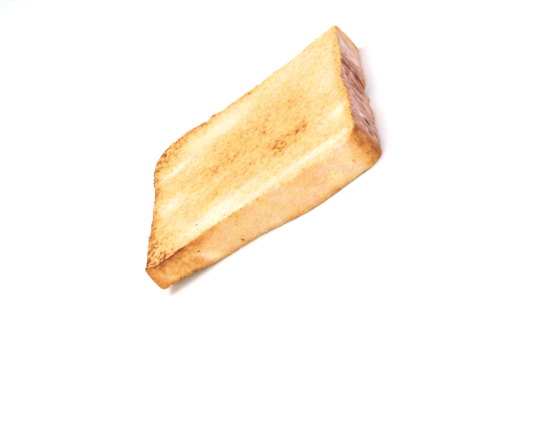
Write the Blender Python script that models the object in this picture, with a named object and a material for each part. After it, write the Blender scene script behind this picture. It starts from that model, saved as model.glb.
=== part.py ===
"""One slice of toasted white tin loaf, lying flat on its underside.

X runs from the foot of the loaf to its crown, Y across the loaf, Z through the slice.
The origin is the middle of the slice's box, on the surface that it lies on. Lengths are in metres.
"""

import math

import bmesh
import bpy
from mathutils import Vector, noise

# Driving dimensions of the slice
HEIGHT = 0.1035  # from the foot of the loaf to its crown
CROWN_WIDTH = 0.1172  # across the loaf just under the crown
FOOT_WIDTH = 0.1050  # across the loaf at the foot
THICKNESS = 0.0150

# The outline of the cut face
NEAR_TAPER = 0.0104  # how much further out the near side stands at the crown than at the foot
NEAR_TAPER_LENGTH = 0.022
FAR_SHOULDER = 0.0040  # swelling of the far side close to the foot
FAR_SHOULDER_AT = -0.035
FAR_SHOULDER_LENGTH = 0.0115
FAR_FLARE = 0.0028  # the far side opens out a little at the crown
CORNER_RADII = {
    ("foot", "near"): 0.0030,
    ("foot", "far"): 0.0072,
    ("crown", "near"): 0.0070,
    ("crown", "far"): 0.0022,
}
FOOT_HOLLOW = 0.0021  # the foot crust has drawn in between its corners
FOOT_HOLLOW_AT = 0.011
FOOT_HOLLOW_LENGTH = 0.030
FOOT_CUT = 0.0022  # the far corner of the foot slopes back
FOOT_CUT_AT = 0.054
FOOT_CUT_LENGTH = 0.0075
NOTCHES = (  # the torn place on the far side: position along it, depth (outwards below 0) and width
    (-0.0206, 0.0013, 0.0017),
    (-0.0172, -0.0018, 0.0018),
    (-0.0110, 0.0009, 0.0030),
    (0.0095, 0.0005, 0.0030),
)

# The crust round the edge
RIM_RADIUS = 0.0014  # the browned edge between a cut face and the crust
SIDE_SWELL = 0.0004  # the crust bulges this much at mid thickness
CROWN_TOP_BACK = 0.0008
CROWN_LEAN = 0.0021  # the crown stands this much further out at the underside
CROWN_LEAN_LESS = 0.0008  # and by this much less towards its far end
CROWN_DENT = 0.0017  # the crown has sunk in the middle
CROWN_DENT_AT = 0.001
CROWN_DENT_LENGTH = 0.012
NEAR_BULGE = 0.0028  # the near crust swells out low down, towards the crown
NEAR_BULGE_AT = 0.019
NEAR_BULGE_LENGTH = 0.016

# The creases that cooling left in the crown, running through the thickness
FOLDS = (  # position across the loaf, depth (a ridge below 0), width, and the shares it runs between
    (0.0440, 0.0004, 0.0026, -0.2, 1.2),
    (0.0300, 0.0006, 0.0024, -0.2, 0.75),
    (0.0205, -0.0004, 0.0022, 0.1, 1.0),
    (0.0120, 0.0022, 0.0019, -0.2, 1.05),
    (0.0145, 0.0009, 0.0050, -0.3, 0.45),
    (0.0074, -0.0008, 0.0015, 0.0, 0.9),
    (0.0040, 0.0011, 0.0013, 0.0, 1.0),
    (-0.0035, 0.0013, 0.0014, 0.0, 1.1),
    (-0.0088, -0.0004, 0.0020, 0.1, 1.0),
    (-0.0150, 0.0009, 0.0016, 0.3, 1.1),
    (-0.0250, 0.0005, 0.0026, -0.2, 0.8),
    (-0.0420, 0.0004, 0.0028, 0.1, 1.2),
)
FOLD_WANDER = 0.0009
FOLD_SLANT = 0.0105  # how far a crease moves along the crown between the two faces
CROWN_FLAKE = 0.0013  # a flake of crust that stands out at the lower rim of the crown
CROWN_FLAKE_AT = -0.0018
CROWN_FLAKE_WIDTH = 0.0021

# The cut faces
FOOT_LIFT = 0.0032  # the near corner of the foot has curled up off the surface below
FOOT_THINNING = 0.0006  # the slice is cut thinner at the foot
FACE_SINK = 0.0005  # the crumb has shrunk below the crust
CROWN_RIM_RISE = 0.0005  # the crust of the crown stands proud of the crumb
FACE_RELIEF = 0.00028
FACE_RELIEF_SPACING = 0.0085

# How finely the slice is divided
CELLS_ALONG = 34
CELLS_ACROSS = 80
CROWDING = 0.45  # the cells across lie closer together where the crown is creased
CROWDED_AT = 0.12
RIM_ROWS = 2
SIDE_ROWS = 4
BAND_ROWS = 2 * RIM_ROWS + SIDE_ROWS

CRUST_COLOUR = (0.80, 0.50, 0.20, 1.0)
CRUST_ROUGHNESS = 0.75

HALF_LENGTH = HEIGHT / 2
HALF_WIDTH = CROWN_WIDTH / 2


def bell(distance, width):
    """A smooth bump that is 1 at no distance and fades over the width."""
    return math.exp(-((distance / width) ** 2))


def smooth_step(value):
    value = min(max(value, 0.0), 1.0)
    return value * value * (3.0 - 2.0 * value)


def clear_scene():
    for thing in list(bpy.data.objects):
        bpy.data.objects.remove(thing, do_unlink=True)


def band_profile(level):
    """How far in the crust lies, and its share of the thickness, from the underside (-1) to the top (1)."""
    row = round((level + 1.0) / 2.0 * BAND_ROWS)
    from_rim = min(row, BAND_ROWS - row)
    if from_rim < RIM_ROWS:
        turn = math.pi / 2 * from_rim / RIM_ROWS
        inset = RIM_RADIUS * (1.0 - math.sin(turn))
        height = RIM_RADIUS * (1.0 - math.cos(turn))
    else:
        along = (from_rim - RIM_ROWS) / SIDE_ROWS
        inset = 0.0
        height = RIM_RADIUS + along * (THICKNESS - 2.0 * RIM_RADIUS)
    share = height / THICKNESS
    return inset, share if row <= BAND_ROWS / 2 else 1.0 - share


def crowd(across):
    """Moves a place between -1 and 1 so that equal steps crowd together about CROWDED_AT."""
    wave = math.sin(math.pi * (across - CROWDED_AT)) - math.sin(math.pi * CROWDED_AT)
    return across - CROWDING * wave / math.pi


def round_corner(x, y, inset):
    """Bends the corners of the rectangle that x and y lie in round, each to its own radius."""
    end = "crown" if x > 0 else "foot"
    side = "far" if y > 0 else "near"
    radius = max(CORNER_RADII[end, side] - inset, 0.0004)
    out_x = abs(x) - (HALF_LENGTH - inset - radius)
    out_y = abs(y) - (HALF_WIDTH - inset - radius)
    if out_x <= 0.0 or out_y <= 0.0:
        return x, y
    pull = max(out_x, out_y) / math.hypot(out_x, out_y)
    x = math.copysign(abs(x) - out_x * (1.0 - pull), x)
    y = math.copysign(abs(y) - out_y * (1.0 - pull), y)
    return x, y


def near_side(x, share):
    """Where the near side of the loaf lies at x and at a share of the thickness."""
    taper = NEAR_TAPER / 2 * math.tanh((x - 0.005) / NEAR_TAPER_LENGTH)
    bulge = NEAR_BULGE * (1.0 - share) * bell(x - NEAR_BULGE_AT, NEAR_BULGE_LENGTH)
    return -(FOOT_WIDTH / 2 + 0.0030) - taper - bulge


def far_side(x):
    """Where the far side of the loaf lies at x, with its shoulder and nicks."""
    y = FOOT_WIDTH / 2 + 0.0044
    y += FAR_SHOULDER * bell(x - FAR_SHOULDER_AT, FAR_SHOULDER_LENGTH)
    y += FAR_FLARE * smooth_step((x - 0.024) / 0.018)
    for place, depth, width in NOTCHES:
        y -= depth * bell(x - place, width)
    return y


def crown_shape(y, share):
    """How far the crown crust stands out from its plain end, at y and at a share of the thickness."""
    lean = CROWN_LEAN - CROWN_LEAN_LESS * smooth_step((y - 0.010) / 0.030)
    out = lean * (1.0 - share) - CROWN_TOP_BACK
    out -= CROWN_DENT * bell(y - CROWN_DENT_AT, CROWN_DENT_LENGTH)
    wander = FOLD_WANDER * noise.noise(Vector((share * 2.2, y * 70.0, 3.7)))
    slant = FOLD_SLANT * (share - 0.5)
    for place, depth, width, start, end in FOLDS:
        strength = smooth_step((share - start) / 0.25) * smooth_step((end - share) / 0.25)
        out -= depth * strength * bell(y - place - slant - wander, width)
    out += CROWN_FLAKE * bell(y - CROWN_FLAKE_AT, CROWN_FLAKE_WIDTH) * smooth_step((0.3 - share) / 0.2)
    return out


def foot_shape(y):
    """How far the foot crust has drawn in at y."""
    drawn = FOOT_HOLLOW * bell(y - FOOT_HOLLOW_AT, FOOT_HOLLOW_LENGTH)
    return drawn + FOOT_CUT * bell(y - FOOT_CUT_AT, FOOT_CUT_LENGTH)


def underside_height(x, y):
    """The height of the lower cut face, which is flat but for the corner that has curled up."""
    to_foot = smooth_step((-0.0195 - x) / 0.028)
    to_near = smooth_step((-0.0180 - y) / 0.032)
    return FOOT_LIFT * to_foot * to_near


def top_height(x, y):
    """The height of the upper cut face at x and y."""
    to_foot = smooth_step((0.010 - x) / 0.055)
    z = THICKNESS - FOOT_THINNING * to_foot * (0.6 - 0.4 * y / HALF_WIDTH)
    edge = max(abs(x) / HALF_LENGTH, abs(y) / HALF_WIDTH)
    z -= FACE_SINK * smooth_step((1.0 - edge) / 0.14)
    z += CROWN_RIM_RISE * smooth_step((x - 0.043) / 0.006)
    place = Vector((x, y, 0.0)) / FACE_RELIEF_SPACING
    z += FACE_RELIEF * noise.fractal(place, 0.9, 2.0, 2)
    return z


def place_point(point):
    """Takes a point of the unit cube from -1 to 1 to its place on the slice."""
    along, across, level = point
    inset, share = band_profile(level)
    x = along * (HALF_LENGTH - inset)
    y = crowd(across) * (HALF_WIDTH - inset)
    x, y = round_corner(x, y, inset)

    swell = SIDE_SWELL * (1.0 - (2.0 * share - 1.0) ** 2)
    x *= 1.0 + swell / HALF_LENGTH
    y *= 1.0 + swell / HALF_WIDTH

    crown_pull = smooth_step((x - 0.030) / 0.020)
    foot_pull = smooth_step((-x - 0.020) / 0.030)
    side = y / HALF_WIDTH
    y = side * (far_side(x) if side > 0 else -near_side(x, share))
    x += crown_pull * crown_shape(y, share) + foot_pull * foot_shape(y)
    low = underside_height(x, y)
    return Vector((x, y, low + share * (top_height(x, y) - low)))


def subdivided_cube():
    """A cube from -1 to 1, with its edges divided into the slice's cells."""
    mesh = bmesh.new()
    bmesh.ops.create_cube(mesh, size=2.0)
    for axis, cells in enumerate((CELLS_ALONG, CELLS_ACROSS, BAND_ROWS)):
        edges = [
            edge
            for edge in mesh.edges
            if abs(edge.verts[0].co[axis] - edge.verts[1].co[axis]) > 1.0
        ]
        bmesh.ops.subdivide_edges(mesh, edges=edges, cuts=cells - 1, use_grid_fill=True)
    return mesh


def toasted_material():
    material = bpy.data.materials.new("toasted_bread")
    material.use_nodes = True
    shader = material.node_tree.nodes["Principled BSDF"]
    shader.inputs["Base Color"].default_value = CRUST_COLOUR
    shader.inputs["Roughness"].default_value = CRUST_ROUGHNESS
    shader.inputs["Metallic"].default_value = 0.0
    return material


def make_slice(collection):
    """The slice of toast: one solid of crumb inside its browned crust."""
    shape = subdivided_cube()
    for vertex in shape.verts:
        vertex.co = place_point(vertex.co)
    lowest = Vector([min(vertex.co[axis] for vertex in shape.verts) for axis in range(3)])
    highest = Vector([max(vertex.co[axis] for vertex in shape.verts) for axis in range(3)])
    middle = (lowest + highest) / 2
    bmesh.ops.translate(shape, verts=shape.verts, vec=(-middle.x, -middle.y, -lowest.z))
    bmesh.ops.recalc_face_normals(shape, faces=shape.faces)

    mesh = bpy.data.meshes.new("toast_slice")
    shape.to_mesh(mesh)
    shape.free()
    mesh.materials.append(toasted_material())
    mesh.shade_smooth()
    toast = bpy.data.objects.new("toast_slice", mesh)
    collection.objects.link(toast)
    return toast


def main():
    clear_scene()
    toast_parts = bpy.data.collections.new("toast")
    bpy.context.scene.collection.children.link(toast_parts)
    make_slice(toast_parts)


main()
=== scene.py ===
"""Looks of one slice of toasted white tin loaf, lying flat with its shown face up.

X runs from the foot of the loaf to its crown, Y across the loaf, Z up through the slice.
Lengths are in metres, or in millimetres where a name ends in MM or mm. A share is a part of the
thickness, from 0 at the underside to 1 at the top. Browning goes from 0, plain crumb, to 1, burnt.
"""

import math

import bmesh
import bpy
import numpy as np
from mathutils import Matrix, Vector, kdtree, noise


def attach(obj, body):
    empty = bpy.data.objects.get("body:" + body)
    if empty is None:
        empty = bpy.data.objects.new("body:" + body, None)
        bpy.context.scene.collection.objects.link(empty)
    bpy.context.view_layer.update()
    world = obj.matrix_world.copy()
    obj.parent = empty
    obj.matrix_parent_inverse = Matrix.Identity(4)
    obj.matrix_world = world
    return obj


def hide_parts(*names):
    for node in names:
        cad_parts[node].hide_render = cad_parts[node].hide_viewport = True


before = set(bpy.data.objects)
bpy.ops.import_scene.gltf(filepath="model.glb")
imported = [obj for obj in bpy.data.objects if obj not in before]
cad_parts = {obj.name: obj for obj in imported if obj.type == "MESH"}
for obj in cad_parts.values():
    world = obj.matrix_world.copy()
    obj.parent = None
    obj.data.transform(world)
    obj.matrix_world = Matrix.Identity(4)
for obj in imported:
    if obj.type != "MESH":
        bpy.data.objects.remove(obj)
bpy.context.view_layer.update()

# The slice of toast: one piece of white crumb, cut from a tin loaf, inside the crust that baked round it.
# The tin gave it pale flat sides, and the open top of the tin let the crown rise, darken and crease.
# Both cut faces were then browned in a toaster, in uneven patches.
HEIGHT = 0.1035  # from the foot of the loaf to its crown
CROWN_WIDTH = 0.1172
FOOT_WIDTH = 0.1050
THICKNESS = 0.0150
HALF_LENGTH = HEIGHT / 2
HALF_WIDTH = CROWN_WIDTH / 2
CENTRE = Vector((0.00044, -0.00016, 0.0))  # middle of the shaped slice before it is centred

NEAR_OUT = 0.0030  # beyond half the foot's width, in the middle of the taper
NEAR_TAPER = 0.0104  # how much further out the near side stands at the crown than at the foot
NEAR_TAPER_AT = 0.005
NEAR_TAPER_LENGTH = 0.022
NEAR_BULGE = 0.0028  # the near crust swells out low down, towards the crown
NEAR_BULGE_AT = 0.019
NEAR_BULGE_LENGTH = 0.016
FAR_OUT = 0.0044  # beyond half the foot's width
FAR_SHOULDER = 0.0040  # the far side swells close to the foot
FAR_SHOULDER_AT = -0.035
FAR_SHOULDER_LENGTH = 0.0115
FAR_FLARE = 0.0028  # the far side opens out a little towards the crown
FAR_FLARE_X = (0.024, 0.042)  # from where it starts to where it is full
NOTCHES = (  # the torn place on the far side: position along it, depth (outwards below 0) and width
    (-0.0206, 0.0013, 0.0017),
    (-0.0172, -0.0018, 0.0018),
    (-0.0110, 0.0009, 0.0030),
    (0.0095, 0.0005, 0.0030),
)
FOOT_HOLLOW = 0.0021  # the foot crust has drawn in between its corners
FOOT_HOLLOW_AT = 0.011
FOOT_HOLLOW_LENGTH = 0.030
FOOT_CUT = 0.0022  # the far corner of the foot slopes back
FOOT_CUT_AT = 0.054
FOOT_CUT_LENGTH = 0.0075

CORNER_RADII = {
    ("foot", "near"): 0.0030,
    ("foot", "far"): 0.0072,
    ("crown", "near"): 0.0070,
    ("crown", "far"): 0.0022,
}
LEAST_CORNER_RADIUS = 0.0004
RIM_RADIUS = 0.0014  # of the browned edge between a cut face and the crust
SIDE_SWELL = 0.0004  # the crust bulges this much at mid thickness
CROWN_TOP_BACK = 0.0008
CROWN_LEAN = 0.0021  # the crown stands this much further out at the underside
CROWN_LEAN_LESS = 0.0008  # and by this much less towards its far end
CROWN_LEAN_LESS_Y = (0.010, 0.040)
CROWN_DENT = 0.0017  # the crown has sunk in the middle
CROWN_DENT_AT = 0.001
CROWN_DENT_LENGTH = 0.012
FOLDS = (  # creases of the crown: position, depth (a ridge below 0), width, and the shares they run between
    (0.0440, 0.0004, 0.0026, -0.2, 1.2),
    (0.0300, 0.0006, 0.0024, -0.2, 0.75),
    (0.0205, -0.0004, 0.0022, 0.1, 1.0),
    (0.0120, 0.0022, 0.0019, -0.2, 1.05),
    (0.0145, 0.0009, 0.0050, -0.3, 0.45),
    (0.0074, -0.0008, 0.0015, 0.0, 0.9),
    (0.0040, 0.0011, 0.0013, 0.0, 1.0),
    (-0.0035, 0.0013, 0.0014, 0.0, 1.1),
    (-0.0088, -0.0004, 0.0020, 0.1, 1.0),
    (-0.0150, 0.0009, 0.0016, 0.3, 1.1),
    (-0.0250, 0.0005, 0.0026, -0.2, 0.8),
    (-0.0420, 0.0004, 0.0028, 0.1, 1.2),
)
FOLD_FADE = 0.25  # the share over which a crease fades at either end
FOLD_SLANT = 0.0105  # how far a crease moves along the crown between the two faces
FOLD_WANDER = 0.0009
FOLD_WAVES_THROUGH = 2.2  # bumps of the wander through the thickness
FOLD_WAVES_ALONG = 70.0  # and in a metre of crown
FOLD_NOISE_PLACE = 3.7
CROWN_FLAKE = 0.0013  # a flake of crust that stands out at the lower rim of the crown
CROWN_FLAKE_AT = -0.0018
CROWN_FLAKE_WIDTH = 0.0021
CROWN_FLAKE_SHARES = (0.3, 0.1)

CROWN_END_X = (0.030, 0.050)  # the stretch over which the slice comes to follow the crown
FOOT_END_X = (-0.020, -0.050)
FOOT_LIFT = 0.0032  # the near corner of the foot has curled up off the surface below
FOOT_LIFT_X = (-0.0195, -0.0475)
FOOT_LIFT_Y = (-0.0180, -0.0500)
FOOT_THINNING = 0.0006  # the slice is cut thinner at the foot, and more so at the near side
FOOT_THINNING_X = (0.010, -0.045)
THINNED_MIDDLE, THINNED_TILT = 0.6, 0.4
FACE_SINK = 0.0005  # the crumb has shrunk below the crust
FACE_MARGIN = 0.14  # the part of the way in from the edge over which it sinks
CROWN_RIM_RISE = 0.0005  # the crust of the crown stands proud of the crumb
CROWN_RIM_X = (0.043, 0.049)
FACE_RELIEF = 0.00028
FACE_RELIEF_SPACING = 0.0085
FACE_RELIEF_LAYERS = (0.9, 2.0, 2)  # how fast finer layers weaken, how much finer each is, their number

CELLS_ALONG = 170
CELLS_ACROSS = 196
RIM_ROWS = 5
SIDE_ROWS = 16
BAND_ROWS = 2 * RIM_ROWS + SIDE_ROWS


def bell(distance, width):
    """A smooth bump that is 1 at no distance and fades over the width."""
    return np.exp(-((distance / width) ** 2))


def rise(value, start, full):
    """From 0 at the start to 1 where it is full, smoothly. Full may be the smaller of the two."""
    part = np.clip((value - start) / (full - start), 0.0, 1.0)
    return part * part * (3.0 - 2.0 * part)


def noise_at(points, spacing, place=0.0):
    """Noise from -1 to 1 at each point, with bumps a spacing apart, the same on all axes or one on each."""
    scaled = points / np.array(spacing) + place
    return np.array([noise.noise(Vector(point)) for point in scaled])


def divided_cube():
    """A cube from -1 to 1, with its edges divided into the slice's cells."""
    mesh = bmesh.new()
    bmesh.ops.create_cube(mesh, size=2.0)
    for axis, cells in enumerate((CELLS_ALONG, CELLS_ACROSS, BAND_ROWS)):
        edges = [
            edge
            for edge in mesh.edges
            if abs(edge.verts[0].co[axis] - edge.verts[1].co[axis]) > 1.0
        ]
        bmesh.ops.subdivide_edges(mesh, edges=edges, cuts=cells - 1, use_grid_fill=True)
    return mesh


def band_rows():
    """For each row of the band, from the underside up: how far in it lies, its share of the thickness,
    and how far round the rim it is, from 0 on a cut face to 1 on the crust."""
    insets, shares, turned = [], [], []
    for row in range(BAND_ROWS + 1):
        from_rim = min(row, BAND_ROWS - row)
        turn = math.pi / 2 * min(from_rim / RIM_ROWS, 1.0)
        height = RIM_RADIUS * (1.0 - math.cos(turn))
        height += max(from_rim - RIM_ROWS, 0) / SIDE_ROWS * (THICKNESS - 2.0 * RIM_RADIUS)
        share = height / THICKNESS
        insets.append(RIM_RADIUS * (1.0 - math.sin(turn)))
        shares.append(share if row <= BAND_ROWS / 2 else 1.0 - share)
        turned.append(min(from_rim / RIM_ROWS, 1.0))
    return np.array(insets), np.array(shares), np.array(turned)


def round_corners(x, y, inset):
    """Bends the corners of the rectangle that x and y lie in round, each to its own radius."""
    at_crown = np.where(y > 0, CORNER_RADII["crown", "far"], CORNER_RADII["crown", "near"])
    at_foot = np.where(y > 0, CORNER_RADII["foot", "far"], CORNER_RADII["foot", "near"])
    radius = np.maximum(np.where(x > 0, at_crown, at_foot) - inset, LEAST_CORNER_RADIUS)
    out_x = np.abs(x) - (HALF_LENGTH - inset - radius)
    out_y = np.abs(y) - (HALF_WIDTH - inset - radius)
    corner = (out_x > 0.0) & (out_y > 0.0)
    far = np.where(corner, np.hypot(out_x, out_y), 1.0)
    keep = np.where(corner, 1.0 - np.maximum(out_x, out_y) / far, 0.0)
    return x - np.sign(x) * out_x * keep, y - np.sign(y) * out_y * keep


def near_side(x, share):
    taper = NEAR_TAPER / 2 * np.tanh((x - NEAR_TAPER_AT) / NEAR_TAPER_LENGTH)
    bulge = NEAR_BULGE * (1.0 - share) * bell(x - NEAR_BULGE_AT, NEAR_BULGE_LENGTH)
    return -(FOOT_WIDTH / 2 + NEAR_OUT) - taper - bulge


def far_side(x):
    y = FOOT_WIDTH / 2 + FAR_OUT
    y = y + FAR_SHOULDER * bell(x - FAR_SHOULDER_AT, FAR_SHOULDER_LENGTH)
    y += FAR_FLARE * rise(x, *FAR_FLARE_X)
    for place, depth, width in NOTCHES:
        y -= depth * bell(x - place, width)
    return y


def crown_shape(y, share):
    """How far the crown crust stands out, and how deep in a crease each point of it lies."""
    lean = CROWN_LEAN - CROWN_LEAN_LESS * rise(y, *CROWN_LEAN_LESS_Y)
    out = lean * (1.0 - share) - CROWN_TOP_BACK
    out -= CROWN_DENT * bell(y - CROWN_DENT_AT, CROWN_DENT_LENGTH)
    waves = (share * FOLD_WAVES_THROUGH, y * FOLD_WAVES_ALONG, np.full_like(y, FOLD_NOISE_PLACE))
    wander = FOLD_WANDER * noise_at(np.stack(waves, axis=1), 1.0)
    creased = np.zeros_like(y)
    slant = FOLD_SLANT * (share - 0.5)
    for place, depth, width, start, end in FOLDS:
        strength = rise(share, start, start + FOLD_FADE) * rise(share, end, end - FOLD_FADE)
        creased += depth * strength * bell(y - place - slant - wander, width)
    out += CROWN_FLAKE * bell(y - CROWN_FLAKE_AT, CROWN_FLAKE_WIDTH) * rise(share, *CROWN_FLAKE_SHARES)
    return out - creased, creased


def shaped_slice(cube_points):
    """Takes the points of the cube to their places on the slice, and describes where each one lies."""
    along, across, up_band = cube_points.T
    row = np.rint((up_band + 1.0) / 2.0 * BAND_ROWS).astype(int)
    insets, shares, turned = band_rows()
    inset, share = insets[row], shares[row]
    x = along * (HALF_LENGTH - inset)
    y = across * (HALF_WIDTH - inset)
    x, y = round_corners(x, y, inset)

    swell = SIDE_SWELL * (1.0 - (2.0 * share - 1.0) ** 2)
    x *= 1.0 + swell / HALF_LENGTH
    y *= 1.0 + swell / HALF_WIDTH
    crown_pull = rise(x, *CROWN_END_X)
    foot_pull = rise(x, *FOOT_END_X)
    side = y / HALF_WIDTH
    y = side * np.where(side > 0, far_side(x), -near_side(x, share))
    crown_out, creased = crown_shape(y, share)
    drawn = FOOT_HOLLOW * bell(y - FOOT_HOLLOW_AT, FOOT_HOLLOW_LENGTH)
    drawn += FOOT_CUT * bell(y - FOOT_CUT_AT, FOOT_CUT_LENGTH)
    x = x + crown_pull * crown_out + foot_pull * drawn

    low = FOOT_LIFT * rise(x, *FOOT_LIFT_X) * rise(y, *FOOT_LIFT_Y)
    thinned = THINNED_MIDDLE - THINNED_TILT * y / HALF_WIDTH
    high = THICKNESS - FOOT_THINNING * rise(x, *FOOT_THINNING_X) * thinned
    edge = np.maximum(np.abs(x) / HALF_LENGTH, np.abs(y) / HALF_WIDTH)
    high -= FACE_SINK * rise(edge, 1.0, 1.0 - FACE_MARGIN)
    high += CROWN_RIM_RISE * rise(x, *CROWN_RIM_X)
    flat = np.stack([x, y, np.zeros_like(x)], axis=1) / FACE_RELIEF_SPACING
    high += FACE_RELIEF * np.array([noise.fractal(Vector(point), *FACE_RELIEF_LAYERS) for point in flat])
    places = np.stack([x, y, low + share * (high - low)], axis=1) - np.array(CENTRE)
    on_band = np.maximum(np.abs(along), np.abs(across)) > 0.9999
    return places, {
        "share": share,
        "turned": np.where(on_band, turned[row], 0.0),
        "from_crown": (1.0 - along) * HALF_LENGTH,
        "from_foot": (1.0 + along) * HALF_LENGTH,
        "from_far": (1.0 - across) * HALF_WIDTH,
        "from_near": (1.0 + across) * HALF_WIDTH,
        "creased": creased * crown_pull,
    }


cube = divided_cube()
slice_mesh = bpy.data.meshes.new("toast")
cube.to_mesh(slice_mesh)
cube.free()
count = len(slice_mesh.vertices)
buffer = np.empty(count * 3)
slice_mesh.vertices.foreach_get("co", buffer)
places, where = shaped_slice(buffer.reshape(-1, 3))
slice_mesh.vertices.foreach_set("co", places.ravel())
slice_mesh.update()
slice_mesh.vertices.foreach_get("normal", buffer)
normals = buffer.reshape(-1, 3).copy()

x_mm, y_mm, z_mm = places.T * 1000.0
share, turned = where["share"], where["turned"]
on_top = (share > 0.999) & (turned < 0.01)
on_under = (share < 0.001) & (turned < 0.01)
on_crust = ~(on_top | on_under)
crust = rise(turned, 0.1, 1.0)

# The shown face has browned in patches, and is browner along the foot, the crown and the far side.
# A patch, like each line of the formulas below, adds an amount of browning or takes one off.
SHOWN_BROWN = 0.22
SHOWN_PATCHES_MM = (  # x, y, reach along x and along y, and how much more or less brown
    (0, 4, 32, 23, 0.15),
    (15, -20, 22, 12, 0.08),
    (14, -20, 2.6, 4.5, 0.20),
    (26, -19, 3.0, 5.0, 0.22),
    (20, -21, 7, 6, 0.14),
    (18, -29, 5, 4, 0.10),
    (2, -20, 3, 3, 0.10),
    (-17, -23, 6, 4, 0.10),
    (-9, -1, 5, 4, 0.10),
    (-19, -1, 2.5, 3.5, 0.10),
    (10, 1, 2.5, 3.5, 0.10),
    (13, 15, 5, 4, 0.06),
    (24, 12, 4, 4, 0.08),
    (-10, 22, 10, 4, 0.06),
    (-18, -42, 16, 7, -0.21),
    (5, -50, 30, 4.5, -0.17),
    (38, -52, 14, 4.5, -0.16),
    (45, -29, 5, 6, -0.21),
    (-40, -4, 7, 6, -0.24),
    (-38, 28, 8, 4.5, -0.25),
    (-12, 37, 13, 9, -0.20),
    (24, 44, 24, 14, -0.06),
    (0, 53, 6, 3, 0.10),
    (-27, 18, 7, 6, -0.07),
    (-3, 21, 9, 5, -0.06),
    (-13, -12, 7, 3.5, -0.08),
    (-18, -30, 9, 3.5, -0.06),
    (27, -29, 4, 3.5, 0.08),
    (36, -31, 3.5, 8, -0.06),
    (0, -38, 5, 3, -0.06),
    (-33, -49, 8, 4, 0.12),
    (18, -47, 5, 3, 0.05),
    (36, -46, 4, 3, 0.08),
    (-25, 43, 10, 6, -0.10),
    (40, 10, 7, 20, -0.11),
    (-37, -28, 4, 9, -0.07),
    (-51, -38, 8, 14, 0.34),
    (-47, -49, 9, 6, 0.32),
    (-48, 51, 12, 12, 0.31),
    (-46, 41, 6, 7, 0.08),
    (-28, 58, 12, 5, 0.26),
    (-5, 57, 16, 4, 0.18),
    (-50, 18, 5, 9, 0.26),
    (-51, -12, 4.5, 9, 0.26),
    (-51, 2, 2.5, 30, 0.16),
)
STROKED_ABOVE = 0.30  # a patch that browns by more than this is broken up into strokes
EDGE_BROWN = 0.20
EDGE_WIDTH = 0.0019
HALVED_ABOVE = 0.5  # browning beyond this counts half
LEAST_BROWN = 0.02

face_points = places * np.array((1.0, 1.0, 0.2))
face_blotches = noise_at(face_points, 0.011)
face_mottles = noise_at(face_points, (0.0030, 0.0042, 0.02), 3.0)
face_strokes = rise(noise_at(face_points, (0.0017, 0.0022, 0.02), 41.0), -0.05, 0.25)
brown = SHOWN_BROWN + 0.06 * face_blotches + 0.06 * face_mottles
for x, y, reach_x, reach_y, amount in SHOWN_PATCHES_MM:
    uneven = 0.26 + 1.9 * face_strokes if amount > STROKED_ABOVE else 1.0 + 0.5 * face_mottles
    brown += amount * uneven * bell(x_mm - x, reach_x) * bell(y_mm - y, reach_y)
brown += EDGE_BROWN * (1.0 + face_mottles) * bell(where["from_foot"], EDGE_WIDTH)
crown_edge = 0.75 * EDGE_BROWN * (1.0 + 0.7 * face_mottles) * (1.0 - 0.8 * rise(y_mm, 40, 52))
brown += crown_edge * bell(where["from_crown"] - 0.0006, EDGE_WIDTH)
# The far edge browns less towards the crown, partly as a painted highlight
far_edge = 0.5 * EDGE_BROWN * (1.0 + face_mottles) * (1.0 - 0.8 * rise(x_mm, -10, 15))
brown += far_edge * bell(where["from_far"], EDGE_WIDTH)
halved = HALVED_ABOVE + 0.5 * (brown - HALVED_ABOVE)
brown = np.where(brown > HALVED_ABOVE, halved, np.maximum(brown, LEAST_BROWN))

# The hidden face has browned more evenly and deeper, and is paler towards its edges
UNDER_BROWN = 0.37
UNDER_MARGIN = 0.016
SIDES = ("from_crown", "from_foot", "from_far", "from_near")
from_edge = np.minimum.reduce([where[side] for side in SIDES])
under_brown = UNDER_BROWN + 0.15 * rise(from_edge, 0.0, UNDER_MARGIN) + 0.12 * face_blotches
under_brown += 0.10 * face_mottles + 0.12 * noise_at(face_points, 0.024, 61.0)
brown = np.where(on_under, under_brown, brown)

# The near crust is pale where the tin held it, and browner along its rims and towards the foot
blotches = noise_at(places, 0.010, 51.0)
mottles = noise_at(places, 0.0036, 57.0)
streaks = noise_at(places, (0.006, 0.006, 0.0025), 7.0)
fine = noise_at(places, 0.0015, 31.0)
upper = rise(share, 0.74, 0.98)
lower = rise(share, 0.20, 0.02)
near_crust = 0.18 + 0.07 * blotches + 0.07 * mottles + 0.05 * streaks + 0.04 * fine
near_crust += (0.20 + 0.13 * mottles) * lower * rise(x_mm, 44, 36)
near_crust += (0.20 + 0.06 * streaks + 0.13 * fine) * rise(x_mm, -22, -36)
near_crust += (0.12 + 0.10 * mottles) * upper * rise(x_mm, 20, -20)
near_crust += (0.04 + 0.10 * mottles) * upper * rise(x_mm, -16, -28)
near_crust += 0.09 * rise(share, 0.5, 0.9) * rise(x_mm, 2, -23)
near_crust += 0.14 * bell(x_mm + 28, 4.5) * rise(z_mm, 8, 13)

# It has paler places, a slanting pale spot of painted reflected light, and a thin dark line at the rim by
# the foot
near_crust -= 0.11 * bell(x_mm - 39, 7)
near_crust -= 0.12 * bell(x_mm + 46, 3) * bell(z_mm - 7.5, 3)
near_crust -= 0.08 * bell(x_mm - 4, 9)
# Painted reflected light: a slanting pale spot low on the near crust, towards the foot
near_crust -= 0.36 * bell(x_mm + 27.5 + 0.9 * (z_mm - 5.2), 2.6) * bell(z_mm - 4.8, 3.2)
rim_line = bell(share - 0.965, 0.026) * rise(x_mm, -31, -34) * rise(x_mm, -51, -47)
near_crust += (0.58 + 0.30 * mottles + 0.50 * fine) * rim_line

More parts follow.
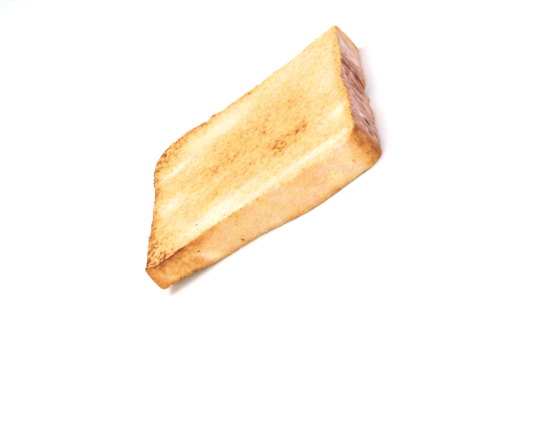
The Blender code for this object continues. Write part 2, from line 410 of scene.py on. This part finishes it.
# The far crust is like it. The corners of the crown are caramel, and the foot is brown all over.
far_crust = 0.30 + 0.10 * blotches + 0.10 * mottles + 0.12 * lower + 0.30 * bell(x_mm + 44, 12)
# Its upper rim is browner, and paler towards the crown, partly as a painted highlight
far_crust += 0.12 * upper - 0.14 * upper * rise(x_mm, -10, 15)
side_crust = np.where(y_mm > 0, far_crust, near_crust)
at_corner = np.where(y_mm > 0, 0.12, 1.0)
for start, full, amount, rim_amount in ((41.5, 48.5, 0.20, 0.04), (46.5, 51.0, 0.26, 0.06)):
    corner_brown = amount + 0.06 * mottles + rim_amount * upper + 0.05 * fine
    side_crust += at_corner * corner_brown * rise(x_mm, start, full)
foot_crust = 0.50 + 0.12 * blotches + 0.12 * mottles + 0.14 * upper
crust_brown = side_crust + (foot_crust - side_crust) * rise(x_mm, -46, -51)

# The crown's skin, which stood free of the tin, is mauve-brown and wrinkled, with painted shade in its
# creases and a painted highlight on its ridges. It turns to plain crust at both ends, and partly at the
# lower rim.
slanted = np.stack([x_mm, y_mm - 1000.0 * FOLD_SLANT * share, z_mm], axis=1) / 1000.0
wrinkles = noise_at(slanted, (0.004, 0.0013, 0.008), 9.0)
skin = rise(normals[:, 0], 0.30, 0.75) * (x_mm > 35)
skin = skin * crust * rise(y_mm, -55, -46) * (1.0 - 0.75 * rise(y_mm, 38, 56))
skin = skin * (1.0 - 0.45 * rise(z_mm, 7, 1) * rise(y_mm, -32, -22))
# A calm stretch of the skin is smoother, and paler, partly as a painted sheen
smooth_sheen_zone = bell(y_mm + 22, 9)
skin_brown = 0.42 + 0.16 * blotches + (0.24 * wrinkles + 0.12 * fine) * (1.0 - 0.6 * smooth_sheen_zone)
skin_brown -= 0.08 * smooth_sheen_zone + 0.17 * rise(y_mm, 22, 34)
skin_brown += 0.12 * bell(y_mm - 10, 9) + 0.07 * rise(y_mm, -5, -20)
skin_brown += 0.16 * bell(y_mm + 41, 8) * bell(z_mm - 6.5, 3.5)
skin_brown -= 0.10 * rise(z_mm, 9.5, 13.5) * bell(y_mm + 28, 12)
# Painted shade darkens the skin in its creases, and a painted highlight pales it on its ridges
skin_brown += np.minimum(100.0 * np.maximum(where["creased"], 0.0), 0.08)
skin_brown -= 220.0 * np.maximum(-where["creased"], 0.0)
crust_brown = crust_brown + (skin_brown - crust_brown) * rise(skin, 0.0, 0.5)
brown = brown + (crust_brown - brown) * rise(turned, 0.05, 0.60)

# Pores of the crumb that the knife opened, as pits in both cut faces, darkened with painted shade
PORE_SHAPES = (  # how many on a face, and their least and greatest radius
    (1500, 0.00045, 0.00075),
    (300, 0.00075, 0.00110),
    (36, 0.00110, 0.00170),
)
PORES_X = (-0.050, 0.051)
PORES_Y = (-0.058, 0.058)
PORE_DARK = (0.35, 1.0)
PORE_DEPTH = 0.60  # for each radius
PORE_LONG = 1.3
PORE_UNEVEN = 0.45
PORE_REACH = 1.4  # how much further than its round form an uneven pore is looked for
draw = np.random.default_rng(11)
ragged_pores = 1.0 + PORE_UNEVEN * noise_at(places, 0.0011, 21.0)
pore = np.zeros(count)
sunk = np.zeros(count)
for face in (on_top, on_under):
    listed = np.flatnonzero(face)
    tree = kdtree.KDTree(len(listed))
    for place, vertex in enumerate(listed):
        tree.insert((places[vertex, 0], places[vertex, 1], 0.0), place)
    tree.balance()
    for number, smallest, largest in PORE_SHAPES:
        for _ in range(number):
            centre_x = draw.uniform(*PORES_X)
            centre_y = draw.uniform(*PORES_Y)
            radius = draw.uniform(smallest, largest)
            turn = draw.uniform(0.0, math.pi)
            dark = draw.uniform(*PORE_DARK)
            reach = radius * PORE_LONG * PORE_REACH
            for point, place, _ in tree.find_range((centre_x, centre_y, 0.0), reach):
                vertex = listed[place]
                away_x, away_y = point[0] - centre_x, point[1] - centre_y
                lengthwise = (away_x * math.cos(turn) + away_y * math.sin(turn)) / PORE_LONG
                crosswise = away_y * math.cos(turn) - away_x * math.sin(turn)
                away = math.hypot(lengthwise, crosswise) / radius * ragged_pores[vertex]
                if away >= 1.0:
                    continue
                pit = 1.0 - away * away
                # The pore value darkens the pit with painted shade and some browning, and makes it duller
                pore[vertex] = max(pore[vertex], pit * dark)
                sunk[vertex] = max(sunk[vertex], pit * radius * PORE_DEPTH)

# Pits in the crust, darkened with painted shade: on the near side, and two on the crown, each with a painted
# highlight on its rim
NEAR_PIT_DEPTH = 0.0004
NEAR_PITS_MM = (  # x, height, radius and how dark
    (-29.4, 8.9, 0.6, 0.40),
    (-12.4, 2.5, 0.6, 0.40),
    (-9.4, 10.6, 0.5, 0.20),
    (-46.0, 9.9, 0.6, 0.10),
    (-37.5, 8.6, 0.7, 0.10),
    (43.0, 6.6, 0.8, 0.20),
)
for x, z, radius, dark in NEAR_PITS_MM:
    away = np.hypot(x_mm - x, z_mm - z) / radius
    pit = np.where((y_mm < 0) & on_crust, np.clip(1.0 - away**2, 0.0, 1.0), 0.0)
    # Painted shade darkens each pit by how dark it is listed
    brown = brown + dark * np.minimum(2.0 * pit, 1.0)
    pore = np.maximum(pore, 2.0 * dark * pit)
    sunk = np.maximum(sunk, pit * NEAR_PIT_DEPTH)
CROWN_PITS_MM = (  # y, height, reach along the crown and in height, and depth
    (-37.4, 7.0, 1.8, 2.0, 0.40),
    (-46.8, 6.3, 1.5, 1.4, 0.35),
)
CROWN_PIT_SHADE = 0.55
CROWN_PIT_RIM_HIGHLIGHT = 0.28
on_crown = (x_mm > 40) & on_crust
for y, z, wide, high, deep in CROWN_PITS_MM:
    above = z_mm - z
    away = np.hypot((y_mm - y - above * FOLD_SLANT / THICKNESS) / wide, above / high)
    pit = np.where(on_crown, np.clip(1.0 - away**2, 0.0, 1.0), 0.0)
    pit_rim = bell(away - 1.5, 0.35) * on_crown
    # Painted shade darkens each pit, and a painted highlight pales its rim
    brown = brown + CROWN_PIT_SHADE * np.minimum(2.5 * pit, 1.0) - CROWN_PIT_RIM_HIGHLIGHT * pit_rim
    pore = np.maximum(pore, pit)
    sunk = np.maximum(sunk, pit * deep / 1000.0)

# The crown's creases are as dull as pits, and darkened like them with painted shade
CREASE_SHADE_AND_DULLNESS = 0.35
pore = np.maximum(pore, CREASE_SHADE_AND_DULLNESS * skin * rise(where["creased"], 0.0002, 0.0012))

# The crumb is finely uneven, the crown is finely wrinkled, and the rims are ragged
CRUMB_UNEVEN = 0.00007
SKIN_WRINKLED = 0.00022
RIM_RAGGED = 0.00045
on_rim = np.clip(1.0 - np.abs(turned - 0.5) * 2.0, 0.0, 1.0)
torn = noise_at(places, 0.0030, 13.0) + 0.7 * noise_at(places, 0.0014, 17.0)
raised = CRUMB_UNEVEN * noise_at(places, 0.0016, 5.0) + SKIN_WRINKLED * wrinkles * skin
raised = raised + RIM_RAGGED * torn * on_rim - sunk
raised = np.where(on_under, np.minimum(raised, 0.0), raised)
places = places + normals * raised[:, None]
places[:, 2] = np.maximum(places[:, 2], 0.0)
slice_mesh.vertices.foreach_set("co", places.ravel())
for name, values in (("brown", brown), ("crust", crust), ("skin", skin), ("pore", pore)):
    layer = slice_mesh.attributes.new(name, "FLOAT", "POINT")
    layer.data.foreach_set("value", values.astype(np.float32))
slice_mesh.update()
slice_mesh.shade_smooth()
toast = bpy.data.objects.new("toast", slice_mesh)
bpy.context.scene.collection.objects.link(toast)


def colour(code):
    """The linear colour of an sRGB hex code."""
    parts = [int(code[place : place + 2], 16) / 255.0 for place in (1, 3, 5)]
    linear = [part / 12.92 if part <= 0.04045 else ((part + 0.055) / 1.055) ** 2.4 for part in parts]
    return (*linear, 1.0)


def add_node(tree, kind, settings=None, links=None):
    """Adds a node. Settings are its own properties, links are what its inputs get: values or outputs."""
    node = tree.nodes.new(kind)
    for name, value in (settings or {}).items():
        setattr(node, name, value)
    for name, value in (links or {}).items():
        if isinstance(value, bpy.types.NodeSocket):
            tree.links.new(value, node.inputs[name])
        else:
            node.inputs[name].default_value = value
    return node


def fill_ramp(node, stops):
    """Gives a colour ramp its stops, as (position, sRGB hex code)."""
    elements = node.color_ramp.elements
    while len(elements) < len(stops):
        elements.new(0.5)
    for element, (position, code) in zip(elements, stops):
        element.position = position
        element.color = colour(code)


# Toasted bread: matt open crumb that goes from cream through gold to brown as its sugars and starch roast,
# inside a closed skin of crust. The crust is dull and peach to caramel where the tin held it,
# and wrinkled, mauve-brown and a little glossy on the crown, so that it mirrors white light at a low angle.
CRUMB_BROWNING = (
    (0.00, "#E6DDC8"),
    (0.12, "#E0D1AA"),
    (0.26, "#DCC080"),
    (0.42, "#DBB05E"),
    (0.54, "#DA9E4E"),
    (0.66, "#CA8036"),
    (0.80, "#AE581A"),
    (1.00, "#7C340C"),
)
CRUST_BROWNING = (
    (0.00, "#E0CBA0"),
    (0.16, "#DBB580"),
    (0.32, "#D9A052"),
    (0.46, "#CE8A30"),
    (0.60, "#B86C22"),
    (0.76, "#9A4A10"),
    (1.00, "#7E2C05"),
)
SKIN_BROWNING = (
    (0.00, "#E6C3B8"),
    (0.22, "#D9A89A"),
    (0.42, "#BF7F68"),
    (0.60, "#A65A34"),
    (0.78, "#863C18"),
    (1.00, "#5A240C"),
)
GRAIN = 0.0006  # crumb walls, drawn coarser than the real 0.2 mm so that they show
GRAIN_BROWNING = 0.09
GRAIN_ON_CRUMB, GRAIN_ON_CRUST = 1.05, 1.35
WARP = 0.0007  # how far the grain pushes pores and specks out of round
FINE_PORE = 0.0019  # from one fine pore to the next
PORES_ON_CRUST = 0.32
SPECK = 0.0011  # from one place of a speck to the next
SPECKS_AT_MOST = 0.85  # of those places, where the face is brown
WRINKLE = 0.0011
WRINKLE_LONG = 4.5
WRINKLE_SLANT = math.atan(FOLD_SLANT / THICKNESS)
# how much the wrinkles brown, with painted shade in their grooves and a painted highlight on their ridges
WRINKLE_BROWNING_AND_SHADING = 0.68
WRINKLE_HEIGHT = 1.8  # against the grain's
TINT_PATCH = 0.006
TINT_ON_CRUMB = 0.6
PINKER = colour("#FFF8FF")
YELLOWER = colour("#FFFFEC")
CRUMB_ROUGH = 0.92
CRUST_ROUGH = 0.70
SKIN_SMOOTHER = 0.36
PIT_ROUGHER = 0.7
BUMP_STRENGTH = 0.8
BUMP_HEIGHT = 0.00025

bread = bpy.data.materials.new("toasted_bread")
bread.use_nodes = True
tree = bread.node_tree
shader = tree.nodes["Principled BSDF"]
object_place = add_node(tree, "ShaderNodeTexCoord").outputs["Object"]
browned, crusted, skinned, pitted = [
    add_node(tree, "ShaderNodeAttribute", {"attribute_name": name}).outputs["Fac"]
    for name in ("brown", "crust", "skin", "pore")
]
grain_noise = add_node(
    tree,
    "ShaderNodeTexNoise",
    links={"Vector": object_place, "Scale": 1.0 / GRAIN, "Detail": 2.0, "Roughness": 0.6},
)
warped = add_node(
    tree,
    "ShaderNodeVectorMath",
    {"operation": "MULTIPLY_ADD"},
    {0: grain_noise.outputs["Color"], 1: (WARP, WARP, WARP), 2: object_place},
).outputs["Vector"]


def spots(spacing, full, least, most, drawn_by):
    """One spot in each cell of a pattern, full to one distance and fading out at a drawn one.
    Returns the spots and the draws of their cells."""
    cells = add_node(
        tree, "ShaderNodeTexVoronoi", links={"Vector": warped, "Scale": 1.0 / spacing, "Randomness": 1.0}
    )
    draws = add_node(tree, "ShaderNodeSeparateColor", links={"Color": cells.outputs["Color"]})
    reach = add_node(
        tree, "ShaderNodeMapRange", links={"Value": draws.outputs[drawn_by], "To Min": least, "To Max": most}
    ).outputs["Result"]
    distance = {"Value": cells.outputs["Distance"], "From Min": full, "From Max": reach}
    faded = add_node(tree, "ShaderNodeMapRange", links={**distance, "To Min": 1.0, "To Max": 0.0})
    return faded.outputs["Result"], draws


# Fine pores are all over the crumb, and show less on the crust
pore_spots, _ = spots(FINE_PORE, 0.10, 0.18, 0.48, "Red")
pore_share = add_node(
    tree, "ShaderNodeMapRange", links={"Value": crusted, "To Min": 1.0, "To Max": PORES_ON_CRUST}
).outputs["Result"]
fine_pores = add_node(
    tree, "ShaderNodeMath", {"operation": "MULTIPLY"}, {0: pore_spots, 1: pore_share}
).outputs["Value"]

# Browned specks are in most cells of a finer pattern where the crumb is brown, in none where it is pale
speck_spots, speck_draws = spots(SPECK, 0.12, 0.22, 0.55, "Green")
speck_chance = add_node(
    tree,
    "ShaderNodeMapRange",
    links={"Value": browned, "From Min": 0.24, "From Max": 0.64, "To Min": 0.0, "To Max": SPECKS_AT_MOST},
).outputs["Result"]
crumb_share = add_node(
    tree, "ShaderNodeMath", {"operation": "SUBTRACT"}, {0: 1.0, 1: crusted}
).outputs["Value"]
speck_chosen = add_node(
    tree, "ShaderNodeMath", {"operation": "LESS_THAN"}, {0: speck_draws.outputs["Red"], 1: speck_chance}
).outputs["Value"]
speck_share = add_node(
    tree, "ShaderNodeMath", {"operation": "MULTIPLY"}, {0: speck_spots, 1: crumb_share}
).outputs["Value"]
specks = add_node(
    tree, "ShaderNodeMath", {"operation": "MULTIPLY"}, {0: speck_share, 1: speck_chosen}
).outputs["Value"]

# The skin's fine wrinkles run through the slice, a little aslant
along_wrinkles = add_node(
    tree,
    "ShaderNodeMapping",
    {"vector_type": "TEXTURE"},
    {"Vector": object_place, "Rotation": (-WRINKLE_SLANT, 0.0, 0.0), "Scale": (1.0, 1.0, WRINKLE_LONG)},
).outputs["Vector"]
wrinkle_noise = add_node(
    tree,
    "ShaderNodeTexNoise",
    links={"Vector": along_wrinkles, "Scale": 1.0 / WRINKLE, "Detail": 2.0, "Roughness": 0.55},
).outputs["Fac"]
wrinkled = add_node(
    tree,
    "ShaderNodeMapRange",
    links={"Value": wrinkle_noise, "From Min": 0.3, "From Max": 0.7, "To Min": -0.5, "To Max": 0.5},
).outputs["Result"]
skin_wrinkles = add_node(
    tree, "ShaderNodeMath", {"operation": "MULTIPLY"}, {0: wrinkled, 1: skinned}
).outputs["Value"]

# Pores darken with painted shade and some browning, and specks brown, more where the face is browner.
# Wrinkles add browning with painted shade and highlight, and grain adds browning.
pore_shade_and_browning = add_node(
    tree,
    "ShaderNodeMapRange",
    links={"Value": browned, "From Min": 0.10, "From Max": 0.50, "To Min": 0.13, "To Max": 0.40},
).outputs["Result"]
speck_browning = add_node(
    tree,
    "ShaderNodeMapRange",
    links={"Value": browned, "From Min": 0.30, "From Max": 0.60, "To Min": 0.15, "To Max": 0.30},
).outputs["Result"]
any_pore = add_node(
    tree, "ShaderNodeMath", {"operation": "MAXIMUM"}, {0: pitted, 1: fine_pores}
).outputs["Value"]
grain_browning = add_node(
    tree,
    "ShaderNodeMapRange",
    links={
        "Value": grain_noise.outputs["Fac"],
        "From Min": 0.3,
        "From Max": 0.7,
        "To Min": -GRAIN_BROWNING,
        "To Max": GRAIN_BROWNING,
    },
).outputs["Result"]
grain_share = add_node(
    tree, "ShaderNodeMapRange", links={"Value": crusted, "To Min": GRAIN_ON_CRUMB, "To Max": GRAIN_ON_CRUST}
).outputs["Result"]
level = browned
for amount, strength in (
    (any_pore, pore_shade_and_browning),
    (specks, speck_browning),
    (skin_wrinkles, WRINKLE_BROWNING_AND_SHADING),
    (grain_browning, grain_share),
):
    level = add_node(
        tree, "ShaderNodeMath", {"operation": "MULTIPLY_ADD"}, {0: amount, 1: strength, 2: level}
    ).outputs["Value"]
browned_colours = []
for stops in (CRUMB_BROWNING, CRUST_BROWNING, SKIN_BROWNING):
    ramp = add_node(tree, "ShaderNodeValToRGB", links={"Fac": level})
    fill_ramp(ramp, stops)
    browned_colours.append(ramp.outputs["Color"])
crumb_colour, crust_colour, skin_colour = browned_colours

# The bread is pinker in some places and yellower in others, a few millimetres apart, the crumb less so
tint_noise = add_node(
    tree,
    "ShaderNodeTexNoise",
    links={"Vector": object_place, "Scale": 1.0 / TINT_PATCH, "Detail": 2.0, "Roughness": 0.6},
).outputs["Fac"]
tint_share = add_node(
    tree, "ShaderNodeMapRange", links={"Value": tint_noise, "From Min": 0.42, "From Max": 0.60}
).outputs["Result"]
tint = add_node(
    tree, "ShaderNodeMix", {"data_type": "RGBA"}, {"Factor": tint_share, 6: PINKER, 7: YELLOWER}
).outputs[2]
baked = add_node(
    tree,
    "ShaderNodeMix",
    {"data_type": "RGBA"},
    {"Factor": crusted, 6: crumb_colour, 7: crust_colour},
).outputs[2]
tint_strength = add_node(
    tree, "ShaderNodeMapRange", links={"Value": crusted, "To Min": TINT_ON_CRUMB, "To Max": 1.0}
).outputs["Result"]
baked = add_node(
    tree,
    "ShaderNodeMix",
    {"data_type": "RGBA", "blend_type": "MULTIPLY"},
    {"Factor": tint_strength, 6: baked, 7: tint},
).outputs[2]
surface = add_node(
    tree,
    "ShaderNodeMix",
    {"data_type": "RGBA"},
    {"Factor": skinned, 6: baked, 7: skin_colour},
).outputs[2]
tree.links.new(surface, shader.inputs["Base Color"])

# Crumb is matt, crust less so, the skin a little glossy, and every pit in it dull
crust_roughness = add_node(
    tree, "ShaderNodeMapRange", links={"Value": crusted, "To Min": CRUMB_ROUGH, "To Max": CRUST_ROUGH}
).outputs["Result"]
roughness = add_node(
    tree,
    "ShaderNodeMath",
    {"operation": "MULTIPLY_ADD"},
    {0: skinned, 1: -SKIN_SMOOTHER, 2: crust_roughness},
).outputs["Value"]
roughness = add_node(
    tree,
    "ShaderNodeMath",
    {"operation": "MULTIPLY_ADD", "use_clamp": True},
    {0: pitted, 1: PIT_ROUGHER, 2: roughness},
).outputs["Value"]
tree.links.new(roughness, shader.inputs["Roughness"])

# The grain stands out of the crumb, and fine pores and wrinkles are sunk into it
crumb_height = add_node(
    tree,
    "ShaderNodeMath",
    {"operation": "MULTIPLY_ADD"},
    {0: fine_pores, 1: -1.0, 2: grain_noise.outputs["Fac"]},
).outputs["Value"]
height = add_node(
    tree,
    "ShaderNodeMath",
    {"operation": "MULTIPLY_ADD"},
    {0: skin_wrinkles, 1: -WRINKLE_HEIGHT, 2: crumb_height},
).outputs["Value"]
bump = add_node(
    tree,
    "ShaderNodeBump",
    links={"Height": height, "Strength": BUMP_STRENGTH, "Distance": BUMP_HEIGHT},
).outputs["Normal"]
tree.links.new(bump, shader.inputs["Normal"])

# Light sinks a millimetre or so into the bread, the red of it furthest
shader.inputs["Subsurface Weight"].default_value = 0.12
shader.inputs["Subsurface Radius"].default_value = (1.0, 0.55, 0.25)
shader.inputs["Subsurface Scale"].default_value = 0.0012
shader.inputs["IOR"].default_value = 1.45
slice_mesh.materials.append(bread)
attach(toast, "root")
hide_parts("toast_slice")

# Crumbs: small dry bits of the same bread, which the knife and the toaster broke loose.
# They cling mostly to the rims, each sunk a little into the surface that holds it.
CRUMB_COUNT = 130
CRUMB_SIZES = (0.00016, 0.00036)  # least and greatest radius
CRUMB_SUNK = 0.35  # of the radius
CRUMB_STRETCH = (0.6, 1.4)
CRUMB_UNROUND = 0.35
CRUMB_LUMPS = 0.9  # for each radius
CRUMB_LEAST_BROWN = 0.32
CRUMB_BROWNER = (-0.05, 0.20)
HELD_ON_RIM, HELD_ON_CRUST, HELD_ON_FACE = 1.0, 0.01, 0.002  # how readily each part of the slice holds one
LEAST_HELD_HEIGHT = 0.0015

held = HELD_ON_RIM * on_rim + HELD_ON_CRUST * on_crust + HELD_ON_FACE * on_top
held = held * (places[:, 2] > LEAST_HELD_HEIGHT) * (x_mm < 46)
held = held * np.where((y_mm > 0) | (x_mm < -48), 0.3, 1.0) * (1.0 - 0.6 * rise(x_mm, -10, 10))
draw = np.random.default_rng(29)
holders = draw.choice(count, CRUMB_COUNT, replace=False, p=held / held.sum())
crumbs = bmesh.new()
crumb_brown = []
for holder in holders:
    radius = draw.uniform(*CRUMB_SIZES)
    stretch = draw.uniform(*CRUMB_STRETCH, 3)
    turned_to = Vector(draw.normal(size=3)).normalized().to_track_quat("Z", "Y").to_matrix().to_4x4()
    place = Vector(places[holder] + normals[holder] * radius * (1.0 - CRUMB_SUNK))
    form = Matrix.Translation(place) @ turned_to @ Matrix.Diagonal((*(radius * stretch), 1.0))
    crumb = bmesh.ops.create_icosphere(crumbs, subdivisions=2, radius=1.0, matrix=form)["verts"]
    for vertex in crumb:
        bulge = CRUMB_UNROUND * noise.noise(vertex.co / radius * CRUMB_LUMPS)
        vertex.co += (vertex.co - place) * bulge
    browner = draw.uniform(*CRUMB_BROWNER)
    crumb_brown += [max(brown[holder], CRUMB_LEAST_BROWN) + browner] * len(crumb)
crumb_mesh = bpy.data.meshes.new("clinging_crumbs")
crumbs.to_mesh(crumb_mesh)
crumbs.free()
layer = crumb_mesh.attributes.new("brown", "FLOAT", "POINT")
layer.data.foreach_set("value", np.array(crumb_brown, dtype=np.float32))
crumb_mesh.shade_smooth()
crumb_mesh.materials.append(bread)
clinging_crumbs = bpy.data.objects.new("clinging_crumbs", crumb_mesh)
bpy.context.scene.collection.objects.link(clinging_crumbs)
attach(clinging_crumbs, "root")

# The camera stands where the photograph was taken from: low over the near side, looking towards the foot,
# and turned about its own line of sight so that the slice runs up to the right.
VIEW_AIM = Vector((0.0057, -0.06377, 0.0065))
VIEW_DISTANCE = 0.643
VIEW_ELEVATION = math.radians(21.63)
VIEW_AZIMUTH = math.radians(15.27)
VIEW_ROLL = math.radians(-40.78)
VIEW_LENS = 111.27
VIEW_SENSOR = 36.0
back = Vector((
    math.sin(VIEW_AZIMUTH) * math.cos(VIEW_ELEVATION),
    -math.cos(VIEW_AZIMUTH) * math.cos(VIEW_ELEVATION),
    math.sin(VIEW_ELEVATION),
))
view = bpy.data.cameras.new("view")
view.lens = VIEW_LENS
view.sensor_width = VIEW_SENSOR
view.sensor_fit = "HORIZONTAL"
view.clip_start = 0.01
camera = bpy.data.objects.new("view", view)
camera.matrix_world = (
    Matrix.Translation(VIEW_AIM + back * VIEW_DISTANCE)
    @ back.to_track_quat("Z", "Y").to_matrix().to_4x4()
    @ Matrix.Rotation(VIEW_ROLL, 4, "Z")
)
bpy.context.scene.collection.objects.link(camera)
bpy.context.scene.camera = camera

# The floor is a plain white sweep of studio card, larger than any view takes in.
FLOOR_SIZE = 6.0
FLOOR_GAP = 0.0002  # below the slice, so that the two surfaces don't coincide
floor_shape = bmesh.new()
bmesh.ops.create_grid(floor_shape, x_segments=1, y_segments=1, size=FLOOR_SIZE / 2)
floor_mesh = bpy.data.meshes.new("floor")
floor_shape.to_mesh(floor_mesh)
floor_shape.free()
floor_mesh.transform(Matrix.Translation((0.0, 0.0, -FLOOR_GAP)))
floor = bpy.data.objects.new("floor", floor_mesh)

# Studio card: smooth white paper with a dull face
card = bpy.data.materials.new("white_card")
card.use_nodes = True
card.node_tree.nodes["Principled BSDF"].inputs["Base Color"].default_value = colour("#FBFBFC")
card.node_tree.nodes["Principled BSDF"].inputs["Roughness"].default_value = 0.7
floor_mesh.materials.append(card)
bpy.context.scene.collection.objects.link(floor)

# Light comes from a white room and from three large soft boxes: one overhead, one low in front of
# the near side, and one to the right, beyond the crown.
ROOM_LIGHT = 0.58
world = bpy.data.worlds.new("white_room")
world.use_nodes = True
world.node_tree.nodes["Background"].inputs["Color"].default_value = colour("#F8FAFF")
world.node_tree.nodes["Background"].inputs["Strength"].default_value = ROOM_LIGHT
bpy.context.scene.world = world
SOFT_BOXES = (  # name, place, aim, side, watts, tint
    ("overhead", (-0.25, 0.15, 0.90), (0.0, 0.0, 0.0), 0.80, 6.0, "#FFFFFF"),
    ("front", (-0.35, -0.90, 0.45), (0.0, 0.0, 0.01), 0.60, 4.6, "#FFFDF8"),
    ("right", (0.90, -0.20, 0.50), (0.0, 0.0, 0.01), 0.60, 4.6, "#F4F7FF"),
)
for name, place, aim, side, watts, tint in SOFT_BOXES:
    lamp = bpy.data.lights.new(name, "AREA")
    lamp.size = side
    lamp.energy = watts
    lamp.color = colour(tint)[:3]
    box = bpy.data.objects.new(name, lamp)
    box.location = place
    box.rotation_euler = (Vector(aim) - Vector(place)).to_track_quat("-Z", "Y").to_euler()
    bpy.context.scene.collection.objects.link(box)
bpy.context.scene.view_settings.view_transform = "Standard"
